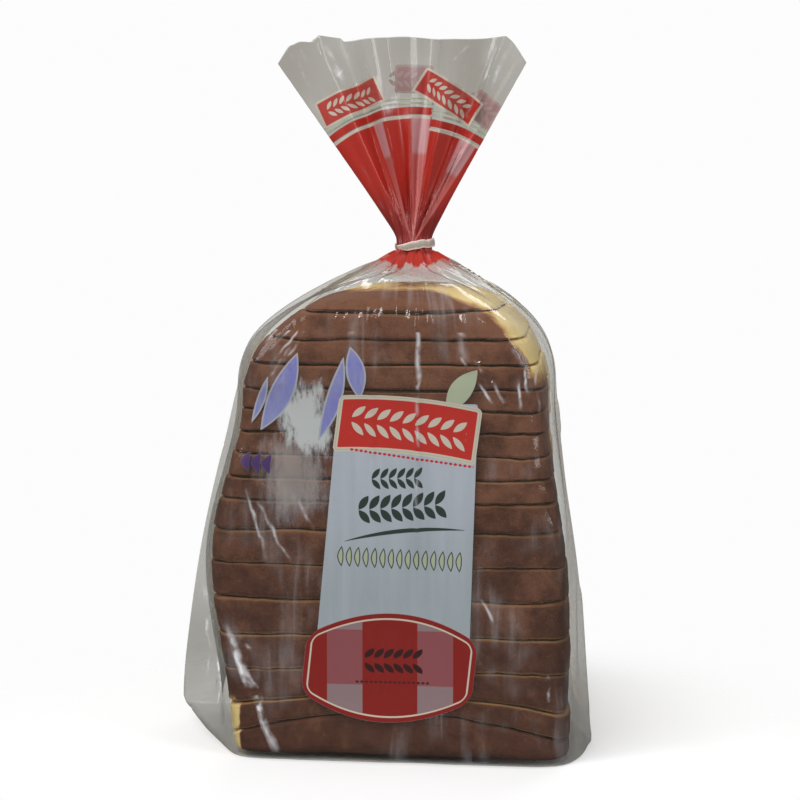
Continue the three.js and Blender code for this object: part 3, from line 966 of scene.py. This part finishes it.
# Left of the label: blue leaves edged in white, over a dappled white patch and a pale veil below it,
# both partly print and partly painted highlight and glare.
drawn_down = vector_calc("MULTIPLY", place, {1: (1, 1, 0.3)})
dapple = mottle(drawn_down, 0.3, 4, 0.7)
ragged = dapple * 24 - 13
patch = label.field(printed_box, across=-33, up=139, half_width=11.5, half_height=15, turn=0.3,
                    corner=7, taper=0.15)
patch = step_between(patch + ragged, -2.5, 5)
label.print(patch, INK_PATCH_AND_HIGHLIGHT, 0.8)
veil = label.field(printed_box, across=-38, up=116, half_width=13, half_height=17, turn=0.2,
                   corner=8)
veil = step_between(veil + ragged, -4, 9)
label.print(veil * (1 - patch), INK_VEIL_AND_GLARE, 0.4)
for leaf_across, leaf_up, half_width, half_height, turn in BLUE_LEAVES:
    leaf = label.field(printed_box, across=leaf_across, up=leaf_up, half_width=half_width,
                       half_height=half_height, turn=turn, bow=0.004,
                       barrel=-half_height / half_width**2)
    label.print(inked(leaf, -0.1), INK_WHITE, 0.8)
    label.print(inked(leaf, 0.6) * (dapple * 1.1 + 0.2), INK_BLUE, 0.85)
marks = label.field(grain_row, across=-60, up=122, turn=-0.1, length=13.2, spacing=4.4, long=4.4,
                    wide=1.7, tilt=1.1)
label.print(inked(marks), INK_PURPLE, 0.85)

# The panel in painted shade, darker low down and in soft vertical fold bands, with the leaf and the
# banner.
fold_shading_place = add(tree, "ShaderNodeCombineXYZ", {0: across, 2: up * 0.08}).outputs[0]
panel_shading = (mottle(fold_shading_place, 0.16, 2) - 0.5) * 1.6 + step_between(up, 55, 130)
panel_colour = blend(panel_shading, INK_WHITE_PAINTED_SHADE, INK_WHITE)
label.print(inked(label.field(printed_box, **PANEL)), panel_colour)
leaf = label.field(printed_box, across=29.5, up=151.5, half_width=10.5, half_height=4.3,
                   turn=0.95, bow=-0.006, barrel=-0.039)
label.print(inked(leaf), INK_LEAF, 0.95)
banner = label.field(printed_box, **BANNER)
label.print(inked(banner), INK_CREAM)
label.print(inked(banner, 0.55, 0.95), INK_LEAF)
label.print(inked(banner, 1.7), INK_RED)
ear_of_wheat = label.field(grain_row, across=-14, up=139.3, turn=-0.085, length=46, spacing=5.1,
                           long=3.6, wide=1.25, spread=3.4, tilt=0.75, bow=-0.0012)
label.print(inked(ear_of_wheat), INK_CREAM)
dots = label.field(grain_row, across=-15, up=127.4, turn=-0.13, length=50, spacing=1.9, long=0.8,
                   wide=0.55)
label.print(inked(dots), INK_RED)

# On the panel: two dark ears of wheat, a stem, and a row of pale grains with dark edges.
for sizes in (
    dict(across=-6, up=115.6, turn=0.02, length=20.4, spacing=3.4, long=2.7, wide=1.05, spread=2.1),
    dict(across=-11.4, up=103, turn=0.05, length=35.2, spacing=4.4, long=3.5, wide=1.5, spread=2.8),
):
    label.print(inked(label.field(grain_row, **sizes, tilt=0.9, bow=0.001)), INK_DARK)
stem = label.field(printed_box, across=6.8, up=94.9, half_width=24.2, half_height=0.85, turn=0.11,
                   bow=-0.0035, barrel=-0.0013)
label.print(inked(stem), INK_DARK)
row = label.field(grain_row, across=-20.5, up=84.2, turn=-0.03, length=51, spacing=3.4, long=4.2,
                  wide=1.25, tilt=1.45)
label.print(inked(row), INK_DARK, 0.9)
label.print(inked(row, 0.42), INK_LEAF, 0.9)

# The badge: deep red with a cream line inside its edge, checks, and a small dark ear of wheat.
badge = label.field(printed_box, **BADGE)
label.print(inked(badge), DEEP_RED_INK_AND_NECK_SHADE)
label.print(inked(badge, 1.9, 2.6), INK_CREAM)
first, repeat, width = BADGE_COLUMNS
column = ((across - first) / repeat).calc("FRACT")
pale = column.calc("LESS_THAN", width / repeat)
middle, half = BADGE_ROW
check = blend(inked(half - abs(up - middle)), INK_GREY, INK_PINK)
label.print(pale * inked(badge, 2.6), check)
dark_ear = label.field(grain_row, across=-9, up=42, length=23.4, spacing=3.9, long=3.2, wide=1.2,
                       spread=3.0, tilt=0.7)
label.print(inked(dark_ear), INK_BADGE_DARK)
dots = label.field(grain_row, across=-13, up=33.2, length=30, spacing=1.9, long=0.8, wide=0.5)
label.print(inked(dots), INK_BADGE_DOTS)
over_label = [
    fold
    for fold in CREASES
    if max(fold[0][0], fold[1][0]) > LABEL_PLACE["left"]
    and min(fold[0][0], fold[1][0]) < LABEL_PLACE["right"]
]
# Painted highlights along the creases over the label, which thin the ink so the milky white shows.
painted_crease_shine = painted_crease_highlights(place, over_label)
only_front = number_of(tree, "front").calc("GREATER_THAN", 0.5)
cover = label.cover * only_front * (painted_crease_shine * -0.3 + 1)
film_surface(output, place, painted_crease_shine, (label.colour, cover))

# The bag's upper part is printed all round: red checks from the neck out, ringed by a cream
# line, and above it a thin red band and small banners. Its reverse shows paler from inside.
CHECK_REACH = 52.6  # how far from the neck the checks run
NECK_REACH = 16  # and how far below it
FOLD_STEP = 4.6  # the layer beyond the fold has slipped down by so much
PALE_COLUMNS = [(3.6, 4.6), (28, 4.5), (-16.5, 2.6)]  # directions from the neck, in degrees
INK_RED_FAN = (0.39, 0.019, 0.01, 1)
LINES = [  # rings from one distance from the neck to the next
    (52.6, 53.8, INK_CREAM), (54.3, 57.4, INK_RED_FAN), (58.6, 59.4, INK_LEAF),
    (60.6, 61.2, INK_LEAF),
]
INK_FAN_PINK = (0.46, 0.1, 0.09, 1)
INK_FAN_PALE = (0.5, 0.24, 0.25, 1)
INK_REVERSE = (0.6, 0.42, 0.44, 1)
INK_NECK_PINK = (0.5, 0.25, 0.23, 1)

MIST_REACH = 32  # how far below the neck the clear film is tinged with the print's red

fan_film, tree, output = new_material("fan_film")
place = in_millimetres(tree)
fan = InkLayers(place)
from_neck = vector_calc("SUBTRACT", place, {1: tuple(NECK)})
across, _, up = split(from_neck)
flat = add(tree, "ShaderNodeCombineXYZ", {0: across, 2: up}).outputs[0]
angle = across.calc("ARCTAN2", up).calc("DEGREES")
slipped = angle.calc("GREATER_THAN", FOLD_OVER_AT)
radius = slipped * FOLD_STEP + vector_calc("LENGTH", flat)
full = vector_calc("LENGTH", from_neck)
is_above = up.calc("GREATER_THAN", 0)
is_below = 1 - is_above
is_front_here = number_of(tree, "front").calc("GREATER_THAN", 0.5)
mist = step_between(MIST_REACH - full, 0, 18)
fan.print(mist * is_below, INK_NECK_PINK, 0.42)
checks = inked(CHECK_REACH - radius) * is_above
reach = mottle(place, 0.3, 2) * 11 + (NECK_REACH - 6.8)
below = step_between(reach - full, -0.8, 0.8) * is_below
# Towards the neck the red of the fan deepens: painted shade where its pleats close together.
red = blend(step_between(full, 34, 8) * is_above, INK_RED_FAN, DEEP_RED_INK_AND_NECK_SHADE)
fan.print(checks.calc("MAXIMUM", below), red, 0.96)
for middle, half in PALE_COLUMNS:
    column = step_between(half - abs(angle - middle), -0.5, 0.5) * checks * is_front_here
    outer = step_between(radius, 37, 39.5)
    fan.print(column, blend(outer, INK_FAN_PINK, INK_FAN_PALE), 0.96)
for low, high, ink in LINES:
    fan.print(inked(radius, low, high) * is_above, ink, 0.95)
only_back = 1 - is_front_here
for across, up, turn, half_width, layer in [
    (-22.6, 266.4, 0.42, 14.3, is_front_here), (18.6, 268.4, -0.57, 14.3, is_front_here),
    (3.5, 275.5, -0.03, 8, only_back), (34, 262, -0.7, 8, only_back),
]:
    small = fan.field(printed_box, across=across, up=up, half_width=half_width, half_height=5.9,
                      turn=turn, corner=1.2, bow=-0.004)
    fan.print(inked(small) * layer, INK_CREAM, 0.92)
    fan.print(inked(small, 1.0) * layer, INK_RED_FAN, 0.92)
    start = (across - 10.15 * math.cos(turn), up - 10.15 * math.sin(turn))
    grains = fan.field(grain_row, across=start[0], up=start[1], turn=turn, length=20.3,
                       spacing=2.9, long=2.1, wide=0.75, spread=1.9, tilt=0.75, bow=-0.004)
    fan.print(inked(grains) * layer, INK_CREAM, 0.92)
reverse = Number(add(tree, "ShaderNodeNewGeometry").outputs["Backfacing"])
colour = blend(reverse * 0.7, fan.colour, INK_REVERSE)

# Where the fan is folded and crumpled, painted highlights are laid over the print too, and thin its
# ink.
FAN_TINT_DOUBLED = (0.588, 0.57, 0.536, 1)
FAN_GLINTS = [
    ((-33.4, 289.6), (-24.6, 273), 1.2, 1.5, 0.3),
    ((-44, 283.4), (-36.5, 266.8), 0.8, 0.7, 0.3),
    ((-23.3, 287.5), (-28, 275.9), 0.6, 1.2, 0.3),
    ((-4.4, 273), (-6.1, 259), 2.8, 1.6, 0.3),
    ((-9, 253), (-4, 239), 0.8, 1.1, 0.3),
    ((-4, 253), (-5.3, 244), 0.8, 1.1, 0.3),
    ((30.7, 267.4), (38.5, 289.1), 1.0, 1.2, 0.3),
    ((34, 266.6), (43.1, 287.1), 1.0, 1.2, 0.3),
    ((25.7, 257.6), (33.2, 273.2), 1.0, 0.9, 0.3),
    ((21.1, 283.1), (27.3, 289.2), 0.7, 0.9, 0.3),
    ((-22.1, 246), (-4, 214.8), 0.8, 0.5, 0.3),
    ((13.3, 225.3), (27.4, 250.1), 1.6, 0.5, 0.3),
]
painted_crease_shine = painted_crease_highlights(place, FAN_GLINTS)
cover = fan.cover * (painted_crease_shine * -0.45 + 1)
film_surface(output, place, painted_crease_shine, (colour, cover), FAN_TINT_DOUBLED)

bag.data.materials.clear()
for material in (clear_film, label_film, fan_film):
    bag.data.materials.append(material)
for face in bag.data.polygons:
    x, y, z = face.center / MM
    in_label = LABEL_PLACE["left"] < x < LABEL_PLACE["right"] and y < -20
    if in_label and LABEL_PLACE["low"] < z < LABEL_PLACE["high"]:
        face.material_index = 1
    elif z > NECK.z - MIST_REACH:
        face.material_index = 2

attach(bag, "root")
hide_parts("bread_bag")


# The tie. A strip of pale plastic with a stiff ridge along its middle, bent round the neck into a
# C. It is open at the front left, where one end stands off as a narrow tab.
TIE_TILT = math.radians(8)
TIE_HALF_HEIGHT = 1.7
TIE_FROM = -1.72  # where round the neck the tab begins
TIE_INNER, TIE_OUTER = 7.2, 8.3
TIE_RIDGE, TIE_RIM = 0.45, 0.25  # how far its middle and its edges stand out
TAB_NARROWER = 0.62

tie = copy_of_solid("neck_band", "neck_tie", 60, cuts=5)
points = read_points(tie.data)
x, y, z = points.T
across = (x - NECK.x) * math.cos(TIE_TILT) + (z - NECK.z) * math.sin(TIE_TILT)
level = (z - NECK.z) * math.cos(TIE_TILT) - (x - NECK.x) * math.sin(TIE_TILT)
round_neck = np.arctan2(y, across)
outer = smooth(np.hypot(across, y), TIE_INNER + 0.2, TIE_OUTER - 0.2)
share = np.clip(level / TIE_HALF_HEIGHT, -1, 1)
bulge = (TIE_RIDGE * (1 - share**2) + TIE_RIM * np.abs(share) ** 3) * outer
past_end = smooth(TIE_FROM - round_neck, 0, 0.55) * (round_neck > -math.pi * 0.8) * (y < 0)
crumple = 0.3 * np.sin(5 * round_neck + 1) + 0.2 * np.sin(11 * round_neck)
points[:, 0] += bulge * np.cos(round_neck)
points[:, 1] += bulge * np.sin(round_neck)
points[:, 2] += crumple * 0.6 - TAB_NARROWER * level * past_end
write_points(tie.data, points)
mark(tie.data, "edge", np.abs(share) ** 3)
fine = tie.modifiers.new("fine", "SUBSURF")
fine.levels = fine.render_levels = 1
bpy.ops.object.modifier_apply(modifier="fine")
bpy.ops.object.shade_smooth_by_angle(angle=math.radians(50))

TIE_GREY = (0.33, 0.3, 0.25, 1)
TIE_PALE = (0.76, 0.58, 0.54, 1)
tie_strip, tree, output = new_material("tie_strip")
scuffs = mottle(in_millimetres(tree), 0.5, 4, 0.7)
paler = step_between(number_of(tree, "edge") + (scuffs * 1.4 - 0.6), 0.1, 0.9)
colour = blend(paler, TIE_GREY, TIE_PALE)
surface = principled(tree, colour, scuffs * 0.3 + 0.3, bumped(scuffs, 0.5, 0.3))
put(output.inputs["Surface"], surface)
tie.data.materials.clear()
tie.data.materials.append(tie_strip)
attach(tie, "root")
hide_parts("neck_band")
